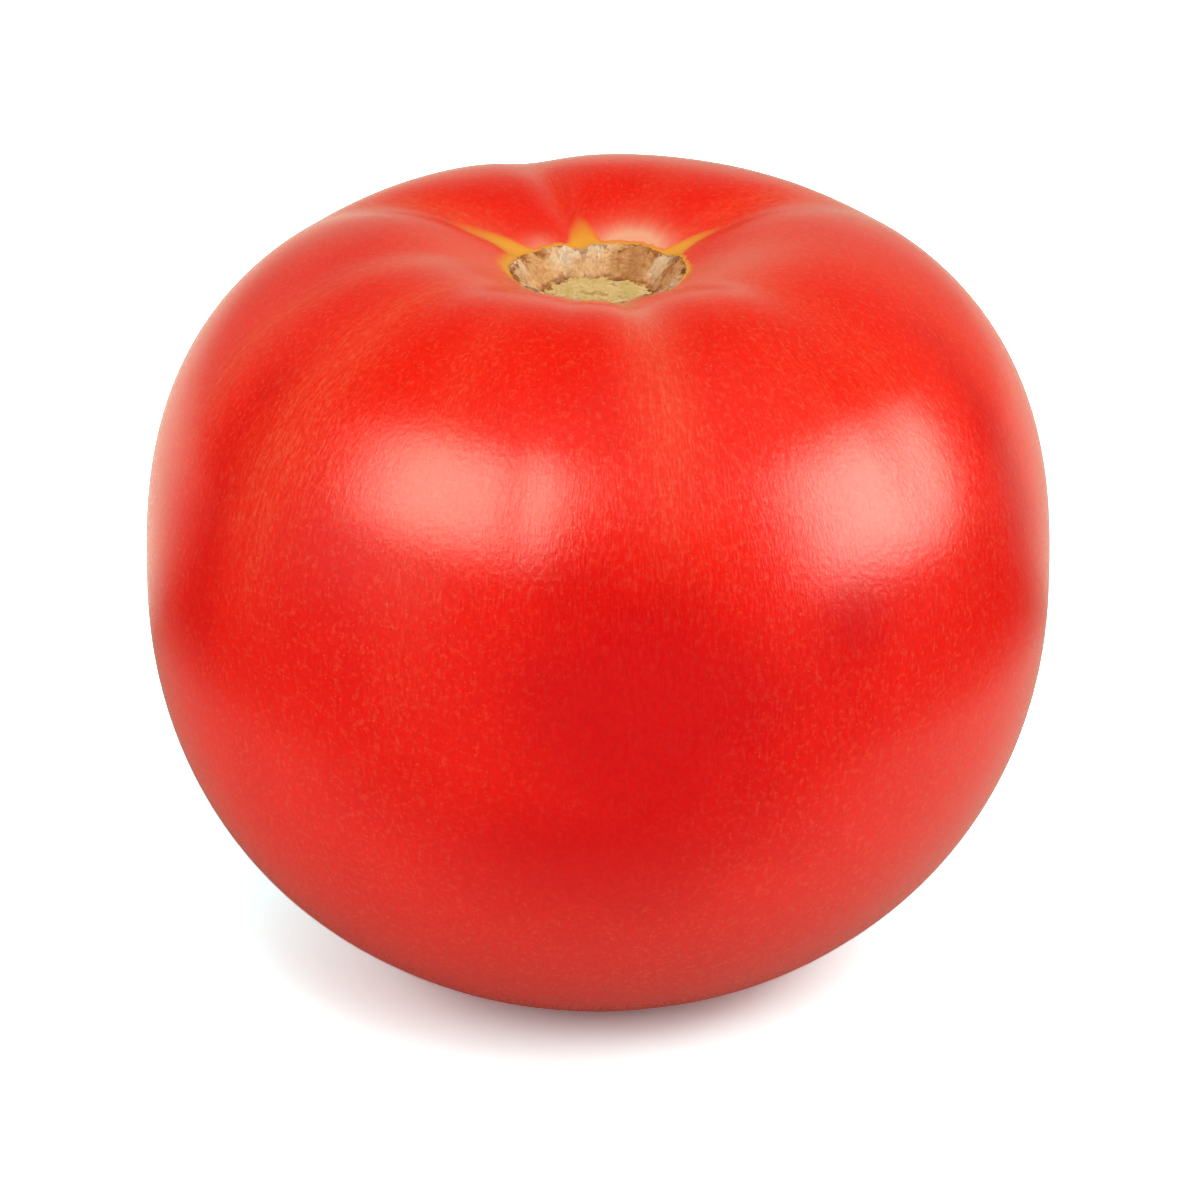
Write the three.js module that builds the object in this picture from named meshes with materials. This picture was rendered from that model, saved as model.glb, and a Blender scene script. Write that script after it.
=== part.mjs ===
// A ripe beefsteak tomato, picked without its stalk: one solid fruit.
// Millimetres and degrees, +Z up. The origin is the centre of the small flat spot that the fruit
// rests on, the stem end is at the top, and -Y is the fruit's front.
import * as THREE from 'three';

const { degToRad, lerp, smoothstep } = THREE.MathUtils;

// The plain body, before its lobes: a squared-off oval turned about Z.
const body = {
  radius: 42.6,
  equatorHeight: 40,
  crownRise: 36.5, // from the equator up to where the oval would close
  baseDrop: 40.7, // from the equator down to where it would close, just under the floor
  crownFullness: 2.61, // 2 is an ellipse, and more is squarer
  baseFullness: 2.12,
};

// The crown leans a little towards the front, by this share of a point's distance from the middle.
const lean = { share: 0.01, fullHeight: 70 };

// The hollow that the stalk grew from, a soft dip in the crown.
const cavity = { depth: 8.6, radius: 12.9 };

// The corky scar at its bottom: an oval crater with a sloping wall and a nearly flat floor.
const scar = { halfWidth: 8.2, halfDepth: 7.3, depth: 2.6, floorShare: 0.62, floorBulge: 0.3 };

// The furrows between the lobes run out from the scar and fade over the shoulders. Each one's
// azimuth turns from +X towards +Y, its spread is to each side, and at its reach, a distance from
// the stem axis, it has faded.
const furrows = [
  { azimuth: 33, depth: 1.8, spread: 13, reach: 36 },
  { azimuth: 104, depth: 1.9, spread: 10, reach: 36 },
  { azimuth: 149, depth: 2.1, spread: 12, reach: 36 },
  { azimuth: 191, depth: 0.5, spread: 13, reach: 40 },
  { azimuth: 226, depth: 0.5, spread: 12, reach: 40 },
  { azimuth: 260, depth: 0.4, spread: 10, reach: 40 },
  { azimuth: 284, depth: 1.3, spread: 12, reach: 40 },
  { azimuth: 322, depth: 0.8, spread: 12, reach: 40 },
];

// What all the furrows share. They are full at the start radius, but only rimShare is left of them
// at the scar's rim, and lowShare of them goes on down to the base.
const furrowShape = { flank: 1.5, start: 14, rimShare: 0.4, rimWidth: 7, lowShare: 0.12, endHeight: 14 };

// How finely the surface is divided.
const grid = { segments: 80, baseRows: 14, crownRows: 17, scarRows: 7 };

const skinRed = 0xd3170f;

// How far above or below the equator the plain oval is, at a radius from the stem axis.
function ovalHeight(radius, rise, fullness) {
  const share = Math.min(radius / body.radius, 1);
  return rise * (1 - share ** fullness) ** (1 / fullness);
}

function crownHeight(radius) {
  const dip = cavity.depth * Math.exp(-((radius / cavity.radius) ** 2));
  return body.equatorHeight + ovalHeight(radius, body.crownRise, body.crownFullness) - dip;
}

function baseHeight(radius) {
  return body.equatorHeight - ovalHeight(radius, body.baseDrop, body.baseFullness);
}

// The base would pass the floor inside this radius, so there the fruit is flat.
function restRadius() {
  const share = (body.equatorHeight / body.baseDrop) ** body.baseFullness;
  return body.radius * (1 - share) ** (1 / body.baseFullness);
}

function scarRadius(azimuth) {
  const across = Math.cos(azimuth) / scar.halfWidth;
  const along = Math.sin(azimuth) / scar.halfDepth;
  return 1 / Math.hypot(across, along);
}

// How far one furrow presses the skin in at an azimuth, where it is full.
function furrowDepth(furrow, azimuth) {
  const turn = azimuth - degToRad(furrow.azimuth);
  const away = Math.atan2(Math.sin(turn), Math.cos(turn)) / degToRad(furrow.spread);
  return furrow.depth / (1 + away * away) ** furrowShape.flank;
}

// How far all of them press it in on the crown, and below the equator.
function crownPress(radius, height, azimuth) {
  const rim = scarRadius(azimuth);
  const nearRim = lerp(furrowShape.rimShare, 1, smoothstep(radius, rim, rim + furrowShape.rimWidth));
  return furrows.reduce((sum, furrow) => {
    const share = 1 - smoothstep(radius, furrowShape.start, furrow.reach);
    return sum + furrowDepth(furrow, azimuth) * Math.max(share, lowShare(height)) * nearRim;
  }, 0);
}

function basePress(height, azimuth) {
  return furrows.reduce((sum, furrow) => sum + furrowDepth(furrow, azimuth) * lowShare(height), 0);
}

function lowShare(height) {
  return furrowShape.lowShare * smoothstep(height, 0, furrowShape.endHeight);
}

// A point of the skin: the plain oval's own point, pressed towards the fruit's middle, and leaned.
function skinPoint(radius, height, azimuth, press) {
  const point = new THREE.Vector3(radius * Math.cos(azimuth), radius * Math.sin(azimuth), height);
  const outward = new THREE.Vector3(point.x, point.y, height - body.equatorHeight).normalize();
  point.addScaledVector(outward, -press);
  point.z += lean.share * point.y * smoothstep(height, body.equatorHeight, lean.fullHeight);
  return point;
}

// Rows of points run from the rest spot's edge up to the middle of the scar's floor. A row is even
// in the oval's own angle, where cos(angle) ** (2 / fullness) is its share of the widest radius.
function angleAt(radius, fullness) {
  return Math.acos((radius / body.radius) ** (fullness / 2));
}

function radiusAt(angle, fullness) {
  return body.radius * Math.cos(angle) ** (2 / fullness);
}

function basePoint(share, azimuth) {
  const angle = lerp(angleAt(restRadius(), body.baseFullness), 0, share);
  const radius = radiusAt(angle, body.baseFullness);
  const height = Math.max(baseHeight(radius), 0);
  return skinPoint(radius, height, azimuth, basePress(height, azimuth));
}

function crownPoint(share, azimuth) {
  const angle = lerp(0, angleAt(scarRadius(azimuth), body.crownFullness), share);
  const radius = radiusAt(angle, body.crownFullness);
  const height = crownHeight(radius);
  return skinPoint(radius, height, azimuth, crownPress(radius, height, azimuth));
}

// Inside the scar's rim, at a share of the way out from its middle to the rim.
function scarPoint(share, azimuth) {
  const rim = crownPoint(1, azimuth);
  const floor = crownHeight(scar.halfDepth) - scar.depth + scar.floorBulge * (1 - share * share);
  const climb = smoothstep(share, scar.floorShare, 1);
  return new THREE.Vector3(rim.x * share, rim.y * share, lerp(floor, rim.z, climb));
}

function surfaceRows() {
  const rows = [];
  const addRow = (pointAt, share) => {
    const azimuths = Array.from({ length: grid.segments }, (_, i) => (2 * Math.PI * i) / grid.segments);
    rows.push(azimuths.map((azimuth) => pointAt(share, azimuth)));
  };
  for (let i = 0; i < grid.baseRows; i++) addRow(basePoint, i / grid.baseRows);
  for (let i = 0; i <= grid.crownRows; i++) addRow(crownPoint, i / grid.crownRows);
  for (let i = 1; i < grid.scarRows; i++) addRow(scarPoint, 1 - i / grid.scarRows);
  return rows;
}

// Closes the rows into one body, with a fan of triangles over each end.
function fruitGeometry() {
  const rows = surfaceRows();
  const points = [new THREE.Vector3(0, 0, 0), ...rows.flat(), scarPoint(0, 0)];
  const top = points.length - 1;
  const at = (row, i) => 1 + row * grid.segments + (i % grid.segments);
  const faces = [];
  for (let i = 0; i < grid.segments; i++) {
    faces.push(0, at(0, i + 1), at(0, i));
    for (let row = 0; row + 1 < rows.length; row++) {
      faces.push(at(row, i), at(row, i + 1), at(row + 1, i + 1));
      faces.push(at(row, i), at(row + 1, i + 1), at(row + 1, i));
    }
    faces.push(at(rows.length - 1, i), at(rows.length - 1, i + 1), top);
  }
  const geometry = new THREE.BufferGeometry().setFromPoints(points).setIndex(faces);
  geometry.computeVertexNormals();
  return geometry;
}

function skinMaterial() {
  return new THREE.MeshStandardMaterial({ color: skinRed, roughness: 0.35, metalness: 0 });
}

const fruit = new THREE.Mesh(fruitGeometry(), skinMaterial());
fruit.name = 'fruit';

const tomato = new THREE.Group();
tomato.add(fruit);

export default tomato;
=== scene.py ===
import math

import bpy
import numpy as np
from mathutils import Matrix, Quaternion, Vector, noise


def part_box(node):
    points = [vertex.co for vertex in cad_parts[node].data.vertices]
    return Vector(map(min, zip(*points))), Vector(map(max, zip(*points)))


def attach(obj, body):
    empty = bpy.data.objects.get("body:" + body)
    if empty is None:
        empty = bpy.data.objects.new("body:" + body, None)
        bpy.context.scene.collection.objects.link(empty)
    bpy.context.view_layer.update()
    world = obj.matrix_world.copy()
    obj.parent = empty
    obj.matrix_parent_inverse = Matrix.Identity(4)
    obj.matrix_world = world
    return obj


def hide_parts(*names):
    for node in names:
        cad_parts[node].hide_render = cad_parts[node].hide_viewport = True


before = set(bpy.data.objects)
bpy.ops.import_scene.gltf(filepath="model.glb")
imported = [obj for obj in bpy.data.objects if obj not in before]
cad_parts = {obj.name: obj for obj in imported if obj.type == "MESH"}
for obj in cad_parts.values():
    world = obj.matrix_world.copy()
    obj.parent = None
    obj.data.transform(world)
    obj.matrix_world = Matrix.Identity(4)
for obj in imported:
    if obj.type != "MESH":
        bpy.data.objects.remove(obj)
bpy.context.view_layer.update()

fruitLow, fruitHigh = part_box("fruit")
mm = 0.001


def ease(value, start, end):
    share = np.clip((value - start) / (end - start), 0, 1)
    return share * share * (3 - 2 * share)


def blendTo(first, second, share):
    return first + (second - first) * share


def turnFrom(middle, azimuth):
    # degrees from middle to azimuth, the short way round
    return np.degrees(np.angle(np.exp(1j * (azimuth - math.radians(middle)))))


def noiseOver(points, size, seed, detail=3):
    # smooth noise of about -1 to 1 at each point, with features about size across
    shift = Vector((seed * 7.3, seed * 3.1, seed * 5.7))
    flat = (points / size).reshape(-1, 3).tolist()
    values = [noise.fractal(Vector(point) + shift, 1.0, 2.0, detail) for point in flat]
    return np.array(values).reshape(points.shape[:-1])


# The fruit's form, in mm and degrees: the same oval, hollow and furrows as the CAD solid has.
fruitForm = {
    "radius": 42.6,
    "equatorHeight": 40,
    "crownRise": 36.5,          # from the equator up to where the oval would close
    "baseDrop": 40.7,           # from the equator down to where it would close, under the floor
    "crownFullness": 2.61,      # 2 is an ellipse, and more is squarer
    "baseFullness": 2.12,
    "lean": 0.01,               # how much the crown leans towards the front
    "leanHeight": 70,           # where the lean is full
    "hollowDepth": 8.6,
    "hollowRadius": 12.9,
    "furrows": [                # azimuth, depth, spread to each side, where it has faded
        (33, 1.8, 13, 36),
        (104, 1.9, 10, 36),
        (149, 2.1, 12, 36),
        (191, 0.5, 13, 40),
        (226, 0.5, 12, 40),
        (260, 0.4, 10, 40),
        (284, 1.3, 12, 40),
        (322, 0.8, 12, 40),
    ],
    "ripples": [                # azimuth, height, half width, half height, depth: small dents
        (317, 65, 5.5, 9, 0.22),
        (260, 63, 3.2, 7, 0.14),
    ],
    "flank": 1.5,               # how steeply a furrow's sides rise
    "furrowStart": 14,          # the furrows are full inside this radius
    "rimShare": 0.4,            # and at the scar's rim this share of them is left
    "rimFade": 7,
    "lowShare": 0.12,           # this share of them goes on down the sides
    "endHeight": 14,            # and fades from here to the floor
}

# The corky crater. Shares are of the way out from its middle to its rim, and the rest is in mm.
scarForm = {
    "halfWidth": 8.2,
    "halfDepth": 7.3,
    "depth": 2.6,
    "floorShare": 0.62,         # the floor ends and the wall starts here
    "floorBulge": 0.3,
    "corners": [                # azimuth, half width, reach: where a furrow pulls the rim out
        (28, 9, 0.5),
        (104, 8, 0.2),
        (149, 8, 0.7),
        (218, 14, 0.7),
        (324, 14, 0.6),
    ],
    "ragged": 0.022,            # how uneven the rim is, as a share of its radius
    "raggedSize": 0.11,
    "wallLump": 0.30,           # heights of the bumps, each with the size of its noise
    "lumpSize": 0.22,
    "wallCrease": 0.28,
    "creaseSize": 0.2,
    "creaseTurns": 3,           # creases and flakes are narrower around the wall than down it
    "wallFoot": (-0.04, 0.1),   # from the floor's edge, where the wall's bumps come in
    "wallHead": (0.88, 1),      # and the shares where they fade
    "crust": 0.26,              # crumbs in the corner between the floor and the wall
    "crumbSize": 0.07,
    "crustWidth": 0.045,
    "lip": 0.26,                # flakes that stand up along the rim
    "flakeSize": 0.12,
    "lipShare": 0.965,
    "lipWidth": 0.025,
    "floorRing": 0.06,          # faint rings on the floor
    "ringTurn": 40,
    "ringWobble": 3,
    "wobbleSize": 0.5,
    "ringFade": 0.4,            # the rings fade from here out to the wall
}

meshSteps = {"around": 360, "rest": 4, "base": 84, "crown": 100, "scar": 56}
crownGather = 0.12              # how much closer the crown's rows lie towards the scar


def ovalHeight(radius, rise, fullness):
    share = np.clip(radius / fruitForm["radius"], 0, 1)
    return rise * (1 - share ** fullness) ** (1 / fullness)


def crownHeight(radius):
    form = fruitForm
    dip = form["hollowDepth"] * np.exp(-(radius / form["hollowRadius"]) ** 2)
    return form["equatorHeight"] + ovalHeight(radius, form["crownRise"], form["crownFullness"]) - dip


def baseHeight(radius):
    form = fruitForm
    return form["equatorHeight"] - ovalHeight(radius, form["baseDrop"], form["baseFullness"])


def restRadius():
    form = fruitForm
    share = (form["equatorHeight"] / form["baseDrop"]) ** form["baseFullness"]
    return form["radius"] * (1 - share) ** (1 / form["baseFullness"])


def rimRadius(azimuth):
    form = scarForm
    rim = 1 / np.hypot(np.cos(azimuth) / form["halfWidth"], np.sin(azimuth) / form["halfDepth"])
    around = np.stack([np.cos(azimuth), np.sin(azimuth), 0 * azimuth], axis=-1)
    rim = rim * (1 + form["ragged"] * noiseOver(around, form["raggedSize"], 3, 5))
    for middle, halfWidth, reach in form["corners"]:
        rim = rim + reach * np.exp(-(turnFrom(middle, azimuth) / halfWidth) ** 2)
    return rim


def furrowPress(radius, height, azimuth, rim):
    form = fruitForm
    above = height > form["equatorHeight"]
    low = form["lowShare"] * ease(height, 0, form["endHeight"])
    press = 0 * radius
    for middle, depth, spread, reach in form["furrows"]:
        away = turnFrom(middle, azimuth) / spread
        fade = np.where(above, 1 - ease(radius, form["furrowStart"], reach), 0)
        press = press + depth / (1 + away ** 2) ** form["flank"] * np.maximum(fade, low)
    near = blendTo(form["rimShare"], 1, ease(radius, rim, rim + form["rimFade"]))
    press = press * np.where(above, near, 1)
    for middle, level, halfWidth, halfHeight, depth in form["ripples"]:
        away = np.hypot(turnFrom(middle, azimuth) / halfWidth, (height - level) / halfHeight)
        press = press + depth * np.exp(-away ** 2)
    return press


def skinPoints(radius, height, azimuth, rim):
    form = fruitForm
    rise = height - form["equatorHeight"]
    inward = furrowPress(radius, height, azimuth, rim) / np.hypot(radius, rise)
    x = radius * np.cos(azimuth) * (1 - inward)
    y = radius * np.sin(azimuth) * (1 - inward)
    z = height - rise * inward
    z = z + form["lean"] * y * ease(height, form["equatorHeight"], form["leanHeight"])
    return np.stack([x, y, z], axis=-1)


def restRows(azimuth):
    share = np.linspace(0, 1, meshSteps["rest"], endpoint=False)[1:, None]
    radius = restRadius() * share + 0 * azimuth
    return np.stack([radius * np.cos(azimuth), radius * np.sin(azimuth), 0 * radius], axis=-1)


def baseRows(azimuth, rim):
    fullness = fruitForm["baseFullness"]
    share = np.linspace(0, 1, meshSteps["base"], endpoint=False)[:, None]
    widest = fruitForm["radius"]
    start = math.acos((restRadius() / widest) ** (fullness / 2))
    radius = widest * np.cos(start * (1 - share)) ** (2 / fullness) + 0 * azimuth
    height = np.maximum(baseHeight(radius), 0)
    return skinPoints(radius, height, azimuth + 0 * radius, rim + 0 * radius)


def crownRows(azimuth, rim):
    fullness = fruitForm["crownFullness"]
    share = np.linspace(0, 1, meshSteps["crown"])[:, None]
    share = share + crownGather * np.sin(math.pi * share)
    widest = fruitForm["radius"]
    end = np.arccos((rim / widest) ** (fullness / 2))
    radius = widest * np.cos(end * share) ** (2 / fullness)
    return skinPoints(radius, crownHeight(radius), azimuth + 0 * radius, rim + 0 * radius)


def scarRows(rimRow, azimuth):
    form = scarForm
    share = np.linspace(1, 0, meshSteps["scar"], endpoint=False)[1:, None] + 0 * azimuth
    edge = form["floorShare"]
    floor = crownHeight(form["halfDepth"]) - form["depth"] + form["floorBulge"] * (1 - share ** 2)
    wall = ease(share, edge, 1)
    polar = np.stack([share * np.cos(azimuth), share * np.sin(azimuth), 0 * share], axis=-1)
    turns = form["creaseTurns"]
    around = np.stack(
        [turns * np.cos(azimuth) + 0 * share, turns * np.sin(azimuth) + 0 * share, share], axis=-1)
    footStart, footEnd = form["wallFoot"]
    onWall = ease(share, edge + footStart, edge + footEnd) * (1 - ease(share, *form["wallHead"]))
    lumps = form["wallLump"] * noiseOver(polar, form["lumpSize"], 37, 3) * onWall
    crease = form["wallCrease"] * noiseOver(around, form["creaseSize"], 11, 5) * onWall
    crumbs = 0.5 + noiseOver(polar, form["crumbSize"], 17, 4)
    crust = form["crust"] * crumbs * np.exp(-((share - edge) / form["crustWidth"]) ** 2)
    wobble = form["ringWobble"] * noiseOver(polar, form["wobbleSize"], 23, 2)
    rings = form["floorRing"] * np.sin(form["ringTurn"] * share + wobble)
    rings = rings * (1 - ease(share, form["ringFade"], edge))
    flakes = 0.4 + noiseOver(around, form["flakeSize"], 29, 4)
    lip = form["lip"] * flakes * np.exp(-((share - form["lipShare"]) / form["lipWidth"]) ** 2)
    height = blendTo(floor, rimRow[:, 2], wall) + lumps + crease + crust + rings + lip
    return np.stack([rimRow[:, 0] * share, rimRow[:, 1] * share, height], axis=-1)


def fruitRows():
    azimuth = np.linspace(0, 2 * math.pi, meshSteps["around"], endpoint=False)[None, :]
    rim = rimRadius(azimuth)
    crown = crownRows(azimuth, rim)
    scar = scarRows(crown[-1], azimuth)
    rows = np.concatenate([restRows(azimuth), baseRows(azimuth, rim), crown, scar])
    rimIndex = len(rows) - len(scar) - 1
    return rows, rimIndex, azimuth[0]


# What the skin's colour follows, in mm and degrees.
skinMarks = {
    "bands": [                  # azimuth, half width, strength, gone below, full above: pale streaks
        (36, 8, 0.9, 40, 71),
        (66, 8, 0.3, 30, 60),
        (104, 6, 0.6, 40, 72),
        (147, 8, 1.0, 40, 71),
        (199, 5, 0.7, 50, 66),
        (221, 7, 0.9, 42, 64),
        (246, 5, 0.35, 30, 66),
        (281, 6, 0.85, 50, 71),
        (306, 9, 0.25, 50, 70),
        (322, 6, 0.4, 40, 70),
        (352, 7, 0.3, 30, 66),
    ],
    "darks": [                  # azimuth, height, half width, half height, strength: deeper red
        (275, 44, 17, 15, 1.0),
        (303, 50, 7, 6, 0.6),
        (212, 54, 5, 14, 0.5),
        (338, 56, 6, 14, 0.6),
        (268, 30, 20, 9, 0.9),
        (120, 48, 18, 14, 0.8),
        (40, 42, 14, 16, 0.7),
        (75, 62, 10, 8, 0.5),
    ],
    "halo": 0.14,               # how far the scar's yellow edge reaches
    "spikes": [                 # azimuth, half width, reach: where it runs out along a furrow
        (33, 5, 6.5),
        (100, 8, 4.8),
        (149, 5.5, 8.0),
        (172, 28, 1.6),
        (345, 22, 0.8),
    ],
    "stains": [                 # azimuth, half width, strength: browner stretches of the cork wall
        (56, 14, 1.3),
        (8, 22, 0.9),
        (150, 10, 0.6),
        (196, 14, 0.5),
    ],
    "fleshAndHighlight": [                  # azimuth, half width, reach, strength: pale flesh by the scar, partly a painted highlight on the crest around it
        (64, 24, 2.0, 2.4),
        (70, 30, 4, 0.3),
        (132, 12, 1.6, 0.9),
        (190, 36, 9, 0.45),
        (262, 30, 8, 0.5),
        (282, 8, 14, 0.5),
        (330, 34, 10, 0.5),
    ],
}


def nearAzimuth(marks, azimuth):
    # how strongly each mark holds at an azimuth
    return [np.exp(-(turnFrom(mark[0], azimuth) / mark[1]) ** 2) for mark in marks]


def markValues(rows, rimIndex, azimuth):
    steps = np.linalg.norm(np.diff(rows, axis=0), axis=-1)
    arc = np.concatenate([np.zeros((1, len(azimuth))), np.cumsum(steps, axis=0)])
    pastRim = arc[rimIndex] - arc                            # mm along the skin, out from the rim
    height = rows[..., 2]
    everywhere = 0 * height
    marks = skinMarks
    reach = marks["halo"] + sum(
        near * mark[2] for near, mark in zip(nearAzimuth(marks["spikes"], azimuth), marks["spikes"]))
    halo = np.clip(1 - pastRim / reach, 0, 1)
    # pale flesh by the scar, partly a painted highlight on the crest around it
    fleshAndHighlight = sum(
        near * mark[3] * np.exp(-(np.clip(pastRim, 0, None) / mark[2]) ** 2)
        for near, mark in zip(nearAzimuth(marks["fleshAndHighlight"], azimuth), marks["fleshAndHighlight"]))
    band = sum(
        near * mark[2] * ease(height, mark[3], mark[4])
        for near, mark in zip(nearAzimuth(marks["bands"], azimuth), marks["bands"]))
    stain = everywhere + sum(
        near * mark[2] for near, mark in zip(nearAzimuth(marks["stains"], azimuth), marks["stains"]))
    dark = everywhere
    for middle, level, halfWidth, halfHeight, strength in marks["darks"]:
        away = np.hypot(turnFrom(middle, azimuth) / halfWidth, (height - level) / halfHeight)
        dark = np.maximum(dark, strength * np.exp(-away ** 2))
    inside = np.clip(np.arange(len(rows)) - rimIndex, 0, None) / meshSteps["scar"]
    scarShare = (1 - inside)[:, None] + everywhere
    turned = azimuth[None, :] + everywhere
    meridian = np.stack([np.cos(turned), np.sin(turned), pastRim / fruitForm["radius"]], axis=-1)
    values = {
        "halo": halo, "fleshAndHighlight": fleshAndHighlight, "band": band, "dark": dark, "stain": stain, "scarShare": scarShare}
    return values, meridian


def withPoles(grid):
    # a grid's values with the two end points' own, in the order of the mesh's points
    ends = grid[[0, -1]].mean(axis=1)
    return np.concatenate([ends[:1], grid.reshape((-1,) + grid.shape[2:]), ends[1:]]).astype(np.float32)


def markAttributes(mesh, rows, rimIndex, azimuth):
    values, meridian = markValues(rows, rimIndex, azimuth)
    for name, grid in values.items():
        mesh.attributes.new(name, "FLOAT", "POINT").data.foreach_set("value", withPoles(grid))
    directions = mesh.attributes.new("meridian", "FLOAT_VECTOR", "POINT")
    directions.data.foreach_set("vector", withPoles(meridian).ravel())


def buildFruit():
    rows, rimIndex, azimuth = fruitRows()
    count, around = rows.shape[:2]
    points = np.concatenate([[[0, 0, 0]], rows.reshape(-1, 3), [rows[-1].mean(axis=0)]])
    column = np.arange(around)
    after = (column + 1) % around
    faces = [(0, 1 + right, 1 + left) for left, right in zip(column.tolist(), after.tolist())]
    for row in range(count - 1):
        low, high = 1 + row * around, 1 + (row + 1) * around
        faces.extend(np.stack([low + column, low + after, high + after, high + column], axis=1).tolist())
    last = 1 + (count - 1) * around
    top = len(points) - 1
    faces.extend((last + left, last + right, top) for left, right in zip(column.tolist(), after.tolist()))
    mesh = bpy.data.meshes.new("tomato")
    mesh.from_pydata((points * mm).tolist(), [], faces)
    mesh.polygons.foreach_set("use_smooth", [True] * len(mesh.polygons))
    mesh.materials.append(ripeSkin())
    mesh.materials.append(scarCork())
    skinFaces = around * (1 + rimIndex)
    corkFaces = len(mesh.polygons) - skinFaces
    mesh.polygons.foreach_set("material_index", [0] * skinFaces + [1] * corkFaces)
    markAttributes(mesh, rows, rimIndex, azimuth)
    mesh.update()
    fruit = bpy.data.objects.new("tomato", mesh)
    bpy.context.scene.collection.objects.link(fruit)
    return fruit


def addNode(tree, kind, place, inputs=None, **settings):
    node = tree.nodes.new(kind)
    node.location = (place[0] * 200, place[1] * 200)
    for name, value in settings.items():
        setattr(node, name, value)
    for name, value in (inputs or {}).items():
        if isinstance(value, bpy.types.NodeSocket):
            tree.links.new(value, node.inputs[name])
        else:
            node.inputs[name].default_value = value
    return node


def newGroup(name, inputs, outputs):
    group = bpy.data.node_groups.new(name, "ShaderNodeTree")
    for socket, value in inputs.items():
        made = group.interface.new_socket(socket, in_out="INPUT", socket_type="NodeSocketFloat")
        made.default_value = value
    for socket in outputs:
        group.interface.new_socket(socket, in_out="OUTPUT", socket_type="NodeSocketFloat")
    return group


def placeGroup(tree, group, place, **inputs):
    node = addNode(tree, "ShaderNodeGroup", place, node_tree=group)
    for name, value in inputs.items():
        node.inputs[name].default_value = value
    return node


def newMaterial(name):
    material = bpy.data.materials.new(name)
    material.use_nodes = True
    return material, material.node_tree, material.node_tree.nodes["Principled BSDF"]


def mixColour(tree, place, first, second, share, blend="MIX"):
    node = addNode(tree, "ShaderNodeMix", place, data_type="RGBA", blend_type=blend)
    for index, value in ((0, share), (6, first), (7, second)):
        if isinstance(value, bpy.types.NodeSocket):
            tree.links.new(value, node.inputs[index])
        else:
            node.inputs[index].default_value = value
    return node.outputs[2]


def remap(tree, place, value, low, high, outLow=0.0, outHigh=1.0, smooth=True):
    node = addNode(tree, "ShaderNodeMapRange", place, {
        "Value": value, "From Min": low, "From Max": high, "To Min": outLow, "To Max": outHigh,
    }, interpolation_type="SMOOTHSTEP" if smooth else "LINEAR")
    return node.outputs["Result"]


def maths(tree, place, operation, first, second):
    node = addNode(tree, "ShaderNodeMath", place, operation=operation)
    for index, value in enumerate((first, second)):
        if isinstance(value, bpy.types.NodeSocket):
            tree.links.new(value, node.inputs[index])
        else:
            node.inputs[index].default_value = value
    return node.outputs[0]


def attribute(tree, place, name, output="Fac"):
    return addNode(tree, "ShaderNodeAttribute", place, attribute_name=name).outputs[output]


def streakGroup():
    # fine lines that run from the stem end to the base, and down the scar's wall
    inputs = {"Around": 100, "Along": 12, "Low": 0.4, "High": 0.7}
    group = newGroup("meridianStreaks", inputs, ["Streaks"])
    given = addNode(group, "NodeGroupInput", (-5, 0))
    scale = addNode(group, "ShaderNodeCombineXYZ", (-4, 0), {
        "X": given.outputs["Around"], "Y": given.outputs["Around"], "Z": given.outputs["Along"]})
    place = addNode(group, "ShaderNodeVectorMath", (-3, 0), {
        0: attribute(group, (-4, 1), "meridian", "Vector"), 1: scale.outputs[0]}, operation="MULTIPLY")
    pattern = addNode(group, "ShaderNodeTexNoise", (-2, 0), {
        "Vector": place.outputs[0], "Scale": 1, "Detail": 3, "Roughness": 0.6})
    made = remap(group, (-1, 0), pattern.outputs[0], given.outputs["Low"], given.outputs["High"])
    addNode(group, "NodeGroupOutput", (0, 0), {"Streaks": made})
    return group


def speckGroup():
    # scattered pinprick dots
    group = newGroup("pinpricks", {"Scale": 1500, "Size": 0.25, "Amount": 0.4}, ["Specks"])
    given = addNode(group, "NodeGroupInput", (-5, 0))
    place = addNode(group, "ShaderNodeTexCoord", (-5, 1))
    cells = addNode(group, "ShaderNodeTexVoronoi", (-4, 0), {
        "Vector": place.outputs["Object"], "Scale": given.outputs["Scale"]})
    inner = maths(group, (-3, -1), "MULTIPLY", given.outputs["Size"], 0.4)
    dots = remap(group, (-2, 0), cells.outputs["Distance"], given.outputs["Size"], inner)
    chance = addNode(group, "ShaderNodeSeparateColor", (-3, 1), {0: cells.outputs["Color"]})
    kept = maths(group, (-2, 1), "LESS_THAN", chance.outputs[0], given.outputs["Amount"])
    made = maths(group, (-1, 0), "MULTIPLY", dots, kept)
    addNode(group, "NodeGroupOutput", (0, 0), {"Specks": made})
    return group


def mottleGroup():
    # soft uneven patches
    group = newGroup("mottle", {"Scale": 60, "Detail": 3, "Low": 0.35, "High": 0.65}, ["Patches"])
    given = addNode(group, "NodeGroupInput", (-4, 0))
    place = addNode(group, "ShaderNodeTexCoord", (-4, 1))
    pattern = addNode(group, "ShaderNodeTexNoise", (-3, 0), {
        "Vector": place.outputs["Object"], "Scale": given.outputs["Scale"],
        "Detail": given.outputs["Detail"], "Roughness": 0.55})
    made = remap(group, (-1, 0), pattern.outputs[0], given.outputs["Low"], given.outputs["High"])
    addNode(group, "NodeGroupOutput", (0, 0), {"Patches": made})
    return group


streaks, pinpricks, mottle = streakGroup(), speckGroup(), mottleGroup()

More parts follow.
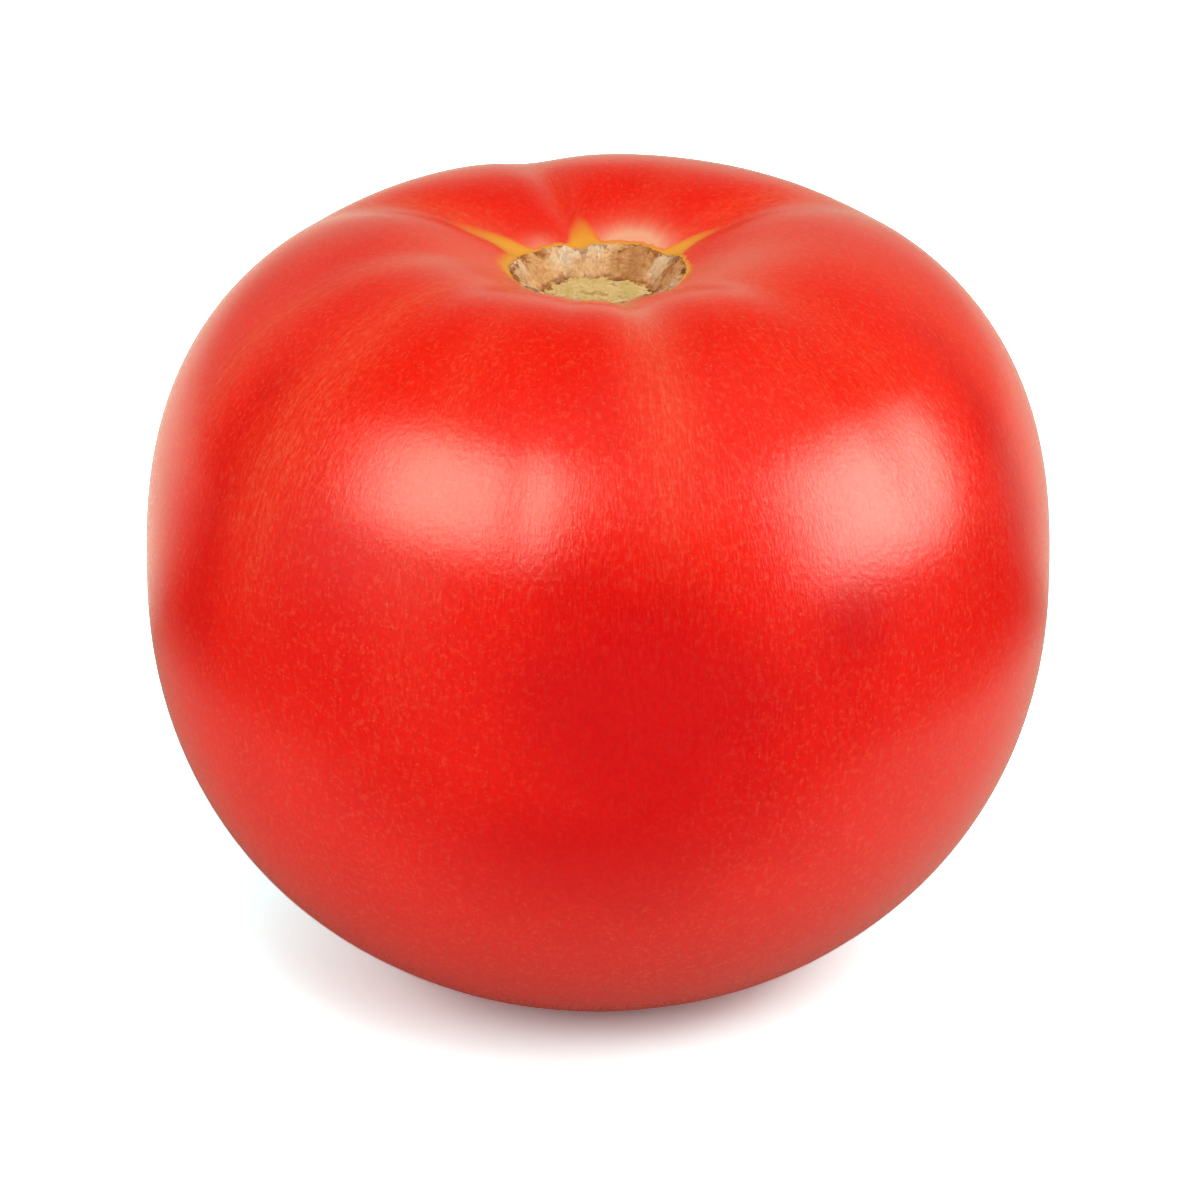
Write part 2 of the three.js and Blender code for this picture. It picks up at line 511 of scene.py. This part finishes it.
skinLook = {
    "deepRed": (0.76, 0.0003, 0.0001, 1),
    "brightRed": (0.95, 0.007, 0.001, 1),
    "crownRed": (1.0, 0.012, 0.001, 1),
    # painted shade: a duller, darker red for the base by the floor
    "shadedBaseRed": (0.72, 0.008, 0.004, 1),
    "paleStreak": (0.98, 0.15, 0.055, 1),
    # pale flesh colour, also painted as a highlight on the crest by the scar
    "fleshAndHighlight": (1.0, 0.44, 0.25, 1),
    "goldSpeck": (0.97, 0.30, 0.08, 1),
    "haloOrange": (0.94, 0.22, 0.03, 1),
    "haloYellow": (0.95, 0.40, 0.04, 1),
    "pore": (0.93, 0.86, 0.86, 1),      # the darker grain, as a share of the colour around it
    "crownHeight": (0.050, 0.066),      # where the crown's red comes in
    "lowHeight": (0.032, 0.010),        # and the painted shade of the base, a duller and darker red, downwards
    "fleckShare": 0.20,                 # how strongly the pale flecks show
    "speckShare": 0.20,                 # and the golden specks
    "roughness": (0.19, 0.26),          # between the fine lines and on them
    "peel": 0.000011,                   # depth of the skin's bumps
    "grain": 0.000006,                  # and of its fine lines
}


def ripeSkin():
    look = skinLook
    material, tree, shader = newMaterial("ripeSkin")
    place = addNode(tree, "ShaderNodeTexCoord", (-11, 1))
    height = addNode(tree, "ShaderNodeSeparateXYZ", (-10, 1), {0: place.outputs["Object"]}).outputs["Z"]
    patches = placeGroup(tree, mottle, (-10, 4), Scale=60, Detail=3, Low=0.35, High=0.7)
    fine = placeGroup(tree, streaks, (-10, 0), Around=210, Along=42, Low=0.42, High=0.70)
    broad = placeGroup(tree, streaks, (-10, -1), Around=45, Along=4, Low=0.3, High=0.7)

    crown = remap(tree, (-9, 2), height, *look["crownHeight"])
    bright = mixColour(tree, (-9, 3), look["brightRed"], look["crownRed"], crown)
    dark = maths(tree, (-9, 5), "MULTIPLY", patches.outputs[0], 0.35)
    dark = maths(tree, (-8, 5), "ADD", dark, attribute(tree, (-9, 6), "dark"))
    colour = mixColour(tree, (-8, 3), bright, look["deepRed"], remap(tree, (-7, 5), dark, 0.05, 1.0))
    # painted shade: the red grows duller and darker down towards the floor
    low = remap(tree, (-8, 1), height, *look["lowHeight"])
    colour = mixColour(tree, (-7, 3), colour, look["shadedBaseRed"], low)

    lines = maths(tree, (-8, 0), "MULTIPLY", fine.outputs[0], 0.45)
    lines = maths(tree, (-7, 0), "ADD", lines, 0.25)
    wide = remap(tree, (-8, -1), broad.outputs[0], 0, 1, 0.55, 1)
    lines = maths(tree, (-7, -1), "MULTIPLY", lines, wide)
    band = maths(tree, (-6, 0), "MULTIPLY", attribute(tree, (-7, 1), "band"), lines)
    colour = mixColour(tree, (-6, 3), colour, look["paleStreak"], band)

    grain = placeGroup(tree, mottle, (-10, -2), Scale=1900, Detail=4, Low=0.46, High=0.72)
    flecks = maths(tree, (-9, -2), "MULTIPLY", fine.outputs[0], 0.4)
    flecks = maths(tree, (-8, -2), "ADD", flecks, grain.outputs[0])
    flecks = remap(tree, (-7, -2), flecks, 0.1, 1.2, 0, look["fleckShare"])
    # the flecks and specks are faint where the red is deep
    lively = remap(tree, (-8, -3), attribute(tree, (-9, -3), "dark"), 0, 1, 1, 0.12)
    flecks = maths(tree, (-6, -2), "MULTIPLY", flecks, lively)
    colour = mixColour(tree, (-5, 3), colour, look["paleStreak"], flecks)
    pores = placeGroup(tree, mottle, (-10, -4), Scale=2300, Detail=4, Low=0.38, High=0.62)
    colour = mixColour(tree, (-4, 3), colour, look["pore"], pores.outputs[0], "MULTIPLY")
    gold = placeGroup(tree, pinpricks, (-10, -3), Scale=2300, Size=0.24, Amount=0.22)
    specks = maths(tree, (-5, -1), "MULTIPLY", gold.outputs[0], look["speckShare"])
    specks = maths(tree, (-4, -1), "MULTIPLY", specks, lively)
    colour = mixColour(tree, (-3, 3), colour, look["goldSpeck"], specks)

    # pale flesh by the scar, partly a painted highlight on the crest
    streaked = remap(tree, (-7, 7), fine.outputs[0], 0, 1, 0.6, 0.85)
    fleshAndHighlight = maths(tree, (-6, 6), "MULTIPLY", attribute(tree, (-7, 6), "fleshAndHighlight"), streaked)
    colour = mixColour(tree, (-3, 4), colour, look["fleshAndHighlight"], fleshAndHighlight)
    halo = attribute(tree, (-6, 5), "halo")
    colour = mixColour(tree, (-2, 4), colour, look["haloOrange"], remap(tree, (-5, 5), halo, 0.0, 0.45))
    colour = mixColour(tree, (-1, 4), colour, look["haloYellow"], remap(tree, (-5, 6), halo, 0.25, 0.8))
    tree.links.new(colour, shader.inputs["Base Color"])

    rough = remap(tree, (-3, 0), fine.outputs[0], 0, 1, *look["roughness"])
    tree.links.new(rough, shader.inputs["Roughness"])
    peel = placeGroup(tree, mottle, (-10, -5), Scale=1900, Detail=2, Low=0.2, High=0.8)
    lined = addNode(tree, "ShaderNodeBump", (-3, -2), {
        "Height": fine.outputs[0], "Distance": look["grain"]})
    bump = addNode(tree, "ShaderNodeBump", (-2, -2), {
        "Height": peel.outputs[0], "Distance": look["peel"], "Normal": lined.outputs[0]})
    tree.links.new(bump.outputs[0], shader.inputs["Normal"])
    return material


corkLook = {
    "cream": (1.0, 0.86, 0.60, 1),
    "peach": (1.0, 0.57, 0.23, 1),
    "brown": (0.46, 0.15, 0.025, 1),
    "dark": (0.14, 0.045, 0.01, 1),
    "floorYellow": (0.86, 0.57, 0.18, 1),
    "floorPale": (0.94, 0.70, 0.32, 1),
    "floorOlive": (0.66, 0.50, 0.12, 1),
    "roughness": 0.75,
    "shine": 0.3,
    "bump": 0.00012,
}


def scarCork():
    look = corkLook
    material, tree, shader = newMaterial("scarCork")
    outward = attribute(tree, (-11, 4), "scarShare")
    patches = placeGroup(tree, mottle, (-11, 3), Scale=170, Detail=5, Low=0.42, High=0.60)
    blotch = placeGroup(tree, mottle, (-11, 2), Scale=380, Detail=6, Low=0.52, High=0.66)
    grit = placeGroup(tree, mottle, (-11, 1), Scale=2600, Detail=4, Low=0.35, High=0.7)
    creases = placeGroup(tree, streaks, (-11, 0), Around=22, Along=14, Low=0.56, High=0.72)
    pitted = placeGroup(tree, mottle, (-11, -1), Scale=900, Detail=5, Low=0.50, High=0.68)
    ragged = placeGroup(tree, mottle, (-11, -2), Scale=900, Detail=6, Low=0.25, High=0.75)

    stain = attribute(tree, (-11, 5), "stain")
    tan = maths(tree, (-10, 4), "ADD", maths(tree, (-10, 3), "MULTIPLY", patches.outputs[0], 0.8), stain)
    wall = mixColour(tree, (-9, 3), look["cream"], look["peach"], tan)
    spread = remap(tree, (-10, 5), stain, 0, 1, 0.35, 1)
    spots = maths(tree, (-10, 2), "MULTIPLY", blotch.outputs[0], spread)
    wall = mixColour(tree, (-8, 3), wall, look["brown"], spots)
    browned = [(stain, 0.5), (creases.outputs[0], 0.3), (pitted.outputs[0], 0.35), (grit.outputs[0], 0.18)]
    for step, (pattern, strength) in enumerate(browned):
        share = maths(tree, (-9 + step, 1), "MULTIPLY", pattern, strength)
        wall = mixColour(tree, (-8 + step, 4), wall, look["brown"], share)

    rings = placeGroup(tree, streaks, (-11, -3), Around=3, Along=110, Low=0.40, High=0.65)
    stains = placeGroup(tree, mottle, (-11, -4), Scale=260, Detail=3, Low=0.45, High=0.65)
    floor = mixColour(tree, (-9, -3), look["floorYellow"], look["floorPale"], rings.outputs[0])
    olive = maths(tree, (-9, -4), "MULTIPLY", stains.outputs[0], 0.6)
    floor = mixColour(tree, (-8, -3), floor, look["floorOlive"], olive)
    centre = maths(tree, (-10, -5), "ADD", outward, ragged.outputs[0])
    centre = maths(tree, (-8, -5), "MULTIPLY", remap(tree, (-9, -5), centre, 0.70, 0.40), 0.5)
    floor = mixColour(tree, (-7, -3), floor, look["brown"], centre)

    clumps = placeGroup(tree, mottle, (-11, -8), Scale=210, Detail=3, Low=0.40, High=0.54)
    shift = remap(tree, (-10, -2), ragged.outputs[0], 0, 1, -0.06, 0.06)
    edge = maths(tree, (-9, -2), "ADD", outward, shift)
    colour = mixColour(tree, (-5, 2), floor, wall, remap(tree, (-6, -2), edge, 0.59, 0.63))
    seamIn = remap(tree, (-8, -6), edge, 0.57, 0.61)
    seamOut = remap(tree, (-8, -7), edge, 0.74, 0.63)
    seam = maths(tree, (-7, -6), "MULTIPLY", seamIn, seamOut)
    broken = remap(tree, (-7, -7), clumps.outputs[0], 0, 1, 0.45, 1)
    seam = maths(tree, (-6, -6), "MULTIPLY", seam, broken)
    colour = mixColour(tree, (-4, 2), colour, look["brown"], seam)
    rim = remap(tree, (-8, -8), edge, 0.92, 0.975)
    rim = maths(tree, (-7, -8), "MULTIPLY", rim, remap(tree, (-8, -9), clumps.outputs[0], 0, 1, 0.55, 1))
    colour = mixColour(tree, (-3, 2), colour, look["brown"], rim)
    gaps = maths(tree, (-6, -9), "MAXIMUM", seam, rim)
    gaps = maths(tree, (-5, -9), "MULTIPLY", gaps, blotch.outputs[0])
    colour = mixColour(tree, (-2, 2), colour, look["dark"], gaps)
    tree.links.new(colour, shader.inputs["Base Color"])
    shader.inputs["Roughness"].default_value = look["roughness"]
    shader.inputs["Specular IOR Level"].default_value = look["shine"]
    bump = addNode(tree, "ShaderNodeBump", (-2, -2), {
        "Height": grit.outputs[0], "Distance": look["bump"]})
    tree.links.new(bump.outputs[0], shader.inputs["Normal"])
    return material


# The studio, in metres, degrees and watts. The fruit's mirrored surroundings are set apart from
# what lights it and from what the camera sees.
studioLook = {
    "floorSize": 6.0,
    "ambient": 0.44,                    # how bright the white room is on the skin
    "mirrorBack": 0.34,                 # and in its reflections, behind the fruit
    "backEdge": (0.42, 0.85),           # how nearly straight behind that starts and is full
    "mirrorLow": 0.36,                  # with this much more straight behind and low down
    "mirrorTint": (1, 0.96, 0.73, 1),
    "floorSeen": (2.0, 3.3, 3.3, 1),    # bright enough to leave only the darkest shadow
    "floorPool": (0.75, 0.28, 0.26, 1), # the floor seen in the pool of shadow under the fruit
    "poolEdge": (0.008, 0.022),         # where the pool fades out, from the stem axis
    "floorBounce": (0.9, 0.9, 0.9, 1),  # what the floor throws back onto the fruit
    "floorMirror": (1.3, 1.26, 0.98, 1),  # the floor in the skin's reflections
    "nearShare": 0.57,                  # how much of that shows close to the fruit
    # name, azimuth, elevation, roll, width, height, power, tint, and whether it is only in reflections
    "softboxes": [
        ("leftSoftbox", 225, 42, 2, 1.3, 1.0, 34, (1, 0.92, 0.74), True),
        ("rightSoftbox", 348, 22, -10, 1.2, 1.05, 37, (1, 0.94, 0.80), True),
        ("topLight", 312, 66, 0, 1.2, 1.2, 6.6, (1, 1, 1), False),
        ("leftFill", 208, 10, 0, 0.8, 0.5, 3.0, (1, 1, 1), False),
        ("rightFill", 334, 10, 0, 0.8, 0.5, 2.1, (1, 1, 1), False),
    ],
    "softEdge": 0.75,                   # how much of each mirrored softbox's half width fades out
}


def aimAt(thing, target):
    thing.rotation_mode = "QUATERNION"
    thing.rotation_quaternion = (Vector(target) - thing.location).to_track_quat("-Z", "Y")


def heading(azimuth, elevation):
    turn, rise = math.radians(azimuth), math.radians(elevation)
    return Vector((math.cos(turn) * math.cos(rise), math.sin(turn) * math.cos(rise), math.sin(rise)))


def softenEdges(light):
    # the lamp fades towards its edges, so that its reflection has no hard outline
    light.use_nodes = True
    tree = light.node_tree
    across = addNode(tree, "ShaderNodeNewGeometry", (-5, 0)).outputs["Parametric"]
    split = addNode(tree, "ShaderNodeSeparateXYZ", (-4, 0), {0: across})
    glow = 1.0
    for side, share in enumerate((split.outputs["X"], split.outputs["Y"])):
        centred = maths(tree, (-2, side), "ABSOLUTE", maths(tree, (-3, side), "SUBTRACT", share, 0.5), 0)
        fade = remap(tree, (-1, side), centred, 0.5, 0.5 * (1 - studioLook["softEdge"]))
        glow = maths(tree, (0, side), "MULTIPLY", fade, glow)
    tree.links.new(glow, tree.nodes["Emission"].inputs["Strength"])


def addSoftbox(name, azimuth, elevation, roll, width, height, power, tint, mirrored):
    data = bpy.data.lights.new(name, "AREA")
    data.shape = "RECTANGLE"
    data.size = width
    data.size_y = height
    data.energy = power
    data.color = tint
    if mirrored:
        softenEdges(data)
    box = bpy.data.objects.new(name, data)
    middle = Vector((0, 0, fruitHigh.z / 2))
    box.location = middle + heading(azimuth, elevation)
    aimAt(box, middle)
    box.rotation_quaternion @= Quaternion((0, 0, 1), math.radians(roll))
    box.visible_diffuse = not mirrored
    box.visible_glossy = mirrored
    bpy.context.scene.collection.objects.link(box)


def backShare(tree, place, split):
    # how nearly straight behind the fruit a direction or a place on the floor lies, seen from above
    column, row = place
    flat = addNode(tree, "ShaderNodeCombineXYZ", (column, row), {
        "X": split.outputs["X"], "Y": split.outputs["Y"]})
    reach = addNode(tree, "ShaderNodeVectorMath", (column + 1, row), {
        0: flat.outputs[0]}, operation="LENGTH")
    return maths(tree, (column + 2, row), "DIVIDE", split.outputs["Y"], reach.outputs["Value"])


def paleRoom():
    world = bpy.data.worlds.new("paleRoom")
    world.use_nodes = True
    tree = world.node_tree
    background = tree.nodes["Background"]
    place = addNode(tree, "ShaderNodeTexCoord", (-6, 0))
    split = addNode(tree, "ShaderNodeSeparateXYZ", (-5, 0), {0: place.outputs["Generated"]})
    behind = remap(tree, (-4, 0), backShare(tree, (-5, -1), split), *studioLook["backEdge"])
    lowDown = remap(tree, (-4, -1), split.outputs["Z"], 0.85, 0.35)
    behind = maths(tree, (-3, 0), "MULTIPLY", behind, lowDown)
    behind = maths(tree, (-2, 0), "MULTIPLY", behind, studioLook["mirrorBack"])
    glow = remap(tree, (-3, -1), split.outputs["Y"], 0.92, 1.0, 0, studioLook["mirrorLow"])
    mirrored = maths(tree, (-2, -1), "ADD", behind, glow)
    rays = addNode(tree, "ShaderNodeLightPath", (-5, 2))
    glossy = rays.outputs["Is Glossy Ray"]
    tint = mixColour(tree, (-2, 2), (1, 1, 1, 1), studioLook["mirrorTint"], glossy)
    shown = addNode(tree, "ShaderNodeMix", (-2, 1), {0: glossy, 2: studioLook["ambient"], 3: mirrored})
    strength = addNode(tree, "ShaderNodeMix", (-1, 1), {
        0: rays.outputs["Is Camera Ray"], 2: shown.outputs[0], 3: 1.0})
    tree.links.new(tint, background.inputs["Color"])
    tree.links.new(strength.outputs[0], background.inputs["Strength"])
    bpy.context.scene.world = world


def paleFloor():
    half = studioLook["floorSize"] / 2
    mesh = bpy.data.meshes.new("floor")
    corners = [(-half, -half, 0), (half, -half, 0), (half, half, 0), (-half, half, 0)]
    mesh.from_pydata(corners, [], [(0, 1, 2, 3)])
    floor = bpy.data.objects.new("floor", mesh)
    material, tree, shader = newMaterial("paleFloor")
    place = addNode(tree, "ShaderNodeTexCoord", (-7, 0))
    split = addNode(tree, "ShaderNodeSeparateXYZ", (-6, 0), {0: place.outputs["Object"]})
    across, back = split.outputs["X"], split.outputs["Y"]
    apart = addNode(tree, "ShaderNodeVectorMath", (-6, 1), {
        0: place.outputs["Object"]}, operation="LENGTH").outputs["Value"]
    # in the skin's reflections the floor is pale near the fruit and behind it, and dark elsewhere
    near = remap(tree, (-5, 1), apart, 0.130, 0.090)
    near = maths(tree, (-4, 1), "MULTIPLY", near, remap(tree, (-5, 0), back, -0.085, -0.030))
    near = maths(tree, (-3, 1), "MULTIPLY", near, remap(tree, (-5, -1), across, -0.1, 0.1, 0.62, 1.02))
    near = maths(tree, (-2, 1), "MULTIPLY", near, studioLook["nearShare"])
    far = remap(tree, (-4, -2), backShare(tree, (-7, -2), split), 0.30, 0.78)
    far = maths(tree, (-3, -1), "MULTIPLY", far, remap(tree, (-4, 0), back, 0.045, 0.095))
    far = maths(tree, (-3, -2), "MULTIPLY", far, remap(tree, (-4, -3), across, -0.1, 0.1, 1, 0.74))
    mirror = maths(tree, (-2, 0), "MAXIMUM", near, far)
    rays = addNode(tree, "ShaderNodeLightPath", (-3, 2))
    shine = mixColour(tree, (-1, 0), (0, 0, 0, 1), studioLook["floorMirror"], mirror)
    shade = mixColour(tree, (0, 1), studioLook["floorBounce"], shine, rays.outputs["Is Glossy Ray"])
    # the shadow pools where the fruit stands
    lit = remap(tree, (-2, 3), apart, *studioLook["poolEdge"])
    seen = mixColour(tree, (0, 3), studioLook["floorPool"], studioLook["floorSeen"], lit)
    shade = mixColour(tree, (1, 1), shade, seen, rays.outputs["Is Camera Ray"])
    matt = addNode(tree, "ShaderNodeBsdfDiffuse", (2, 1), {"Color": shade})
    tree.links.new(matt.outputs[0], tree.nodes["Material Output"].inputs["Surface"])
    tree.nodes.remove(shader)
    mesh.materials.append(material)
    bpy.context.scene.collection.objects.link(floor)


cameraView = {
    "elevation": 24,
    "distance": 0.6,
    "lens": 190,
    "sensor": 36,
    "aimSide": 0.0002,
    "aimShare": 0.4984,         # of the fruit's height
}


def addCamera():
    data = bpy.data.cameras.new("camera")
    data.lens = cameraView["lens"]
    data.sensor_width = cameraView["sensor"]
    camera = bpy.data.objects.new("camera", data)
    target = Vector((cameraView["aimSide"], 0, fruitHigh.z * cameraView["aimShare"]))
    camera.location = target + cameraView["distance"] * heading(-90, cameraView["elevation"])
    aimAt(camera, target)
    bpy.context.scene.collection.objects.link(camera)
    bpy.context.scene.camera = camera


addCamera()
bpy.context.scene.view_settings.view_transform = "Standard"
paleRoom()
paleFloor()
for softbox in studioLook["softboxes"]:
    addSoftbox(*softbox)
print("studio ready")

fruit = buildFruit()
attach(fruit, "root")
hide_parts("fruit")
print("tomato ready:", len(fruit.data.polygons), "faces")
